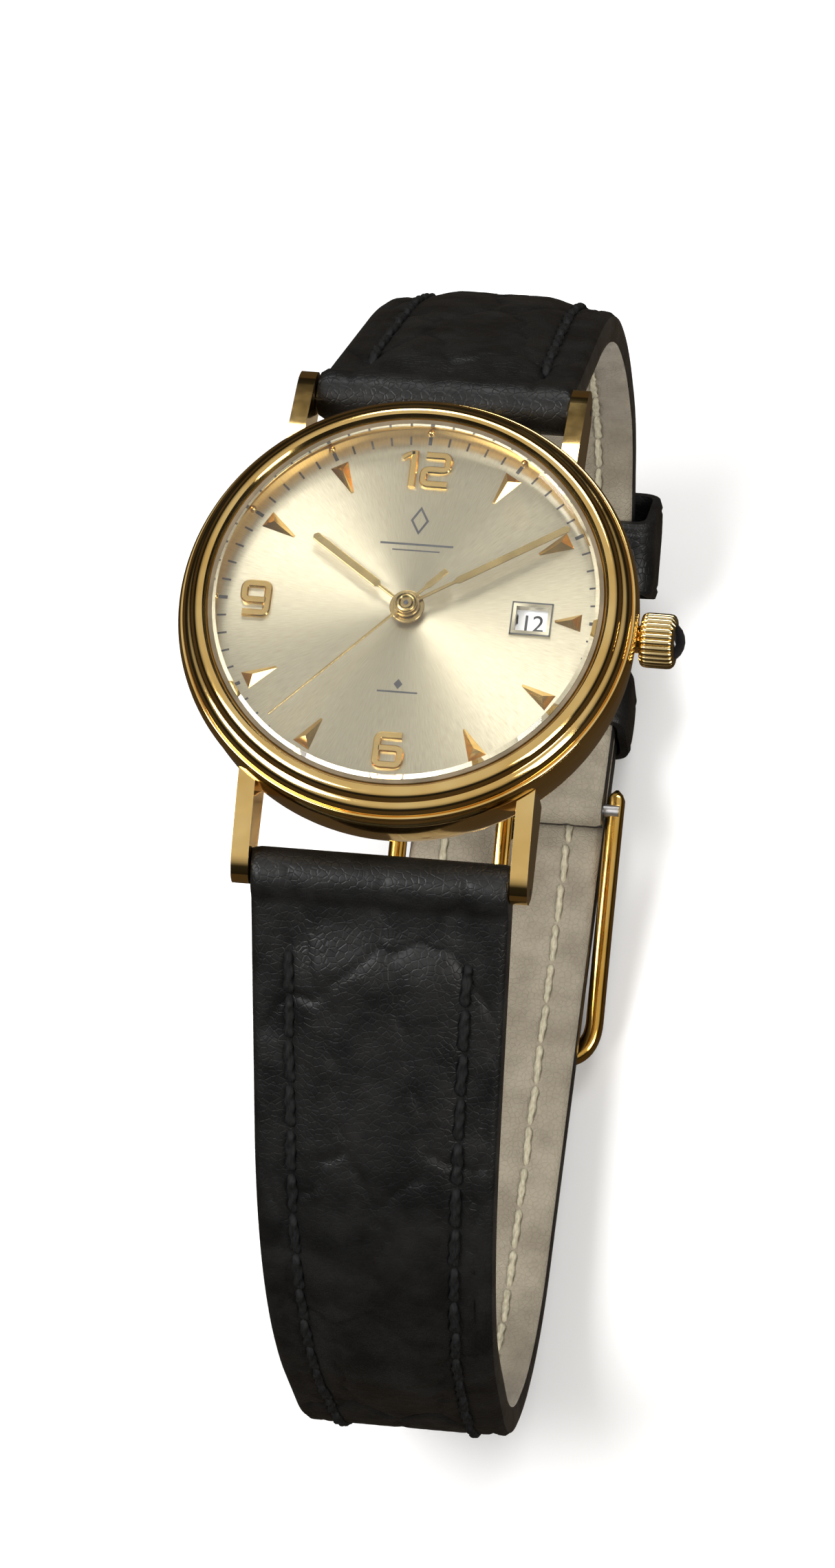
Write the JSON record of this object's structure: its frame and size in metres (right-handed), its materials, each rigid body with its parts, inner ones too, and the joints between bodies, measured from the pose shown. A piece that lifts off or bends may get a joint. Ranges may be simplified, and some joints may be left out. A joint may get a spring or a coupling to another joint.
{
  "type": "wristwatch",
  "caption": "Round analog quartz wristwatch with stepped bezel, date window, fluted crown, four slim lugs and a two-piece padded leather strap buckled into a loop.",
  "frame": {"origin": "centre of the case back's flat outer face", "axes": "+Z out of the dial through the crystal, +Y to 12 o'clock, +X to 3 o'clock along the crown"},
  "size_m": [0.0275, 0.0677, 0.057],
  "materials": {
    "gold_case": "mirror polished yellow gold plating",
    "gold_applied": "polished pale gold",
    "gold_buckle": "polished deep yellow gold plating",
    "glass": "clear mineral glass",
    "seal": "soft translucent gasket",
    "holder_plastic": "moulded",
    "onyx": "polished black cabochon",
    "steel": "fine brushed",
    "dial_champagne": "sunburst brushed champagne, lacquered",
    "date_white": "white printed ring",
    "wheel_brass": "fine turned brass",
    "coil_copper": "lacquered fine copper wire",
    "leather_black": "black crocodile-embossed calf, semi gloss",
    "lining_taupe": "taupe lining leather with fine pores",
    "padding_felt": "compressed felt filler"
  },
  "bodies": {
    "case": {"battery": "steel", "battery_clamp": "steel", "bezel": "gold_case", "buckle_bar": "steel", "case_back": "gold_case", "case_back_gasket": "seal", "case_middle": "gold_case", "circuit_board": "holder_plastic", "coil": "coil_copper", "coil_core": "steel", "crown_tube": "gold_case", "crystal": "glass", "crystal_gasket": "seal", "date_jumper": "steel", "date_window_frame": "gold_case", "dial": "dial_champagne", "fixed_keeper": "leather_black", "flange_ring": "gold_case", "hour_markers": "gold_applied", "long_strap_leather": "leather_black", "long_strap_lining": "lining_taupe", "long_strap_padding": "padding_felt", "main_plate": "wheel_brass", "minute_dots": "gold_applied", "movement_holder": "holder_plastic", "movement_screws": "steel", "numeral_12": "gold_applied", "numeral_6": "gold_applied", "numeral_9": "gold_applied", "quartz_can": "steel", "short_strap_leather": "leather_black", "short_strap_lining": "lining_taupe", "short_strap_padding": "padding_felt", "spring_bar_12": "steel", "spring_bar_6": "steel", "stator": "steel", "train_bridge": "wheel_brass"},
    "seconds": {"second_hand": "gold_applied", "seconds_wheel": "wheel_brass"},
    "minutes": {"minute_hand": "gold_applied", "centre_wheel": "wheel_brass"},
    "hours": {"hour_hand": "gold_applied", "hour_wheel": "wheel_brass"},
    "third": {"third_wheel": "wheel_brass"},
    "intermediate": {"intermediate_wheel": "wheel_brass"},
    "rotor": {"rotor": "steel"},
    "minute_wheel": {"minute_wheel": "wheel_brass"},
    "date_wheel": {"date_wheel": "wheel_brass"},
    "date_ring": {"date_ring": "date_white"},
    "clutch": {"sliding_pinion": "steel"},
    "crown": {"crown": "gold_case", "crown_cabochon": "onyx", "crown_gasket": "seal", "winding_stem": "steel"},
    "setting_lever": {"setting_lever": "steel"},
    "bar_tip_12": {"spring_bar_12_tip": "steel"},
    "bar_tip_6": {"spring_bar_6_tip": "steel"},
    "free_keeper": {"free_keeper": "leather_black"},
    "buckle_frame": {"buckle_frame": "gold_buckle"},
    "buckle_tongue": {"buckle_tongue": "gold_buckle"}
  },
  "joints": [
    {"name": "seconds_turn", "type": "hinge", "parent": "case", "child": "seconds", "pos_m": [0, 0, 0.002], "axis": [0, 0, -1], "continuous": true},
    {"name": "minutes_turn", "type": "hinge", "parent": "case", "child": "minutes", "pos_m": [0, 0, 0.002], "axis": [0, 0, -1], "continuous": true},
    {"name": "hours_turn", "type": "hinge", "parent": "case", "child": "hours", "pos_m": [0, 0, 0.002], "axis": [0, 0, -1], "continuous": true},
    {"name": "third_turn", "type": "hinge", "parent": "case", "child": "third", "pos_m": [0.00221, -0.00128, 0.002], "axis": [0, 0, -1], "continuous": true},
    {"name": "intermediate_turn", "type": "hinge", "parent": "case", "child": "intermediate", "pos_m": [0.00135, 0.00234, 0.002], "axis": [0, 0, -1], "continuous": true},
    {"name": "rotor_turn", "type": "hinge", "parent": "case", "child": "rotor", "pos_m": [0.00189, 0.00437, 0.002], "axis": [0, 0, -1], "continuous": true},
    {"name": "minute_wheel_turn", "type": "hinge", "parent": "case", "child": "minute_wheel", "pos_m": [-0.00096, 0.00166, 0.002], "axis": [0, 0, -1], "continuous": true},
    {"name": "date_wheel_turn", "type": "hinge", "parent": "case", "child": "date_wheel", "pos_m": [-0.00433, -0.00158, 0.002], "axis": [0, 0, -1], "continuous": true},
    {"name": "date_ring_turn", "type": "hinge", "parent": "case", "child": "date_ring", "pos_m": [0, 0, 0.002], "axis": [0, 0, -1], "continuous": true},
    {"name": "crown_turn", "type": "hinge", "parent": "case", "child": "clutch", "pos_m": [0.005, 0, 0.0032], "axis": [1, 0, 0], "continuous": true},
    {"name": "crown_pull", "type": "slide", "parent": "clutch", "child": "crown", "axis": [1, 0, 0], "range_m": [0, 0.001]},
    {"name": "setting_lever_swing", "type": "hinge", "parent": "case", "child": "setting_lever", "pos_m": [0.0068, -0.0016, 0.0023], "axis": [0, 0, -1], "range_deg": [0, 36]},
    {"name": "bar_tip_12_press", "type": "slide", "parent": "case", "child": "bar_tip_12", "axis": [1, 0, 0], "range_m": [-0.00095, 0], "stiffness_N_per_m": 50, "springref_m": 0.001},
    {"name": "bar_tip_6_press", "type": "slide", "parent": "case", "child": "bar_tip_6", "axis": [1, 0, 0], "range_m": [-0.00095, 0], "stiffness_N_per_m": 50, "springref_m": 0.001},
    {"name": "free_keeper_slide", "type": "hinge", "parent": "case", "child": "free_keeper", "pos_m": [0, 0.0198, -0.0345], "axis": [1, 0, 0], "range_deg": [-9, 9]},
    {"name": "buckle_frame_tilt", "type": "hinge", "parent": "case", "child": "buckle_frame", "pos_m": [0, 0.01, -0.04608], "axis": [1, 0, 0], "range_deg": [0, 0.8]},
    {"name": "buckle_tongue_tilt", "type": "hinge", "parent": "buckle_frame", "child": "buckle_tongue", "pos_m": [0, 0.01, -0.04608], "axis": [1, 0, 0], "range_deg": [0, 1]}
  ],
  "couplings": [
    {"joint": "minutes_turn", "follows": "seconds_turn", "ratio": 0.016667},
    {"joint": "hours_turn", "follows": "seconds_turn", "ratio": 0.0013889},
    {"joint": "third_turn", "follows": "seconds_turn", "ratio": -0.13333},
    {"joint": "intermediate_turn", "follows": "seconds_turn", "ratio": -5},
    {"joint": "rotor_turn", "follows": "seconds_turn", "ratio": 30},
    {"joint": "minute_wheel_turn", "follows": "seconds_turn", "ratio": -0.0055556},
    {"joint": "date_wheel_turn", "follows": "seconds_turn", "ratio": -0.00069444},
    {"joint": "setting_lever_swing", "follows": "crown_pull", "rad_per_m": 625}
  ]
}
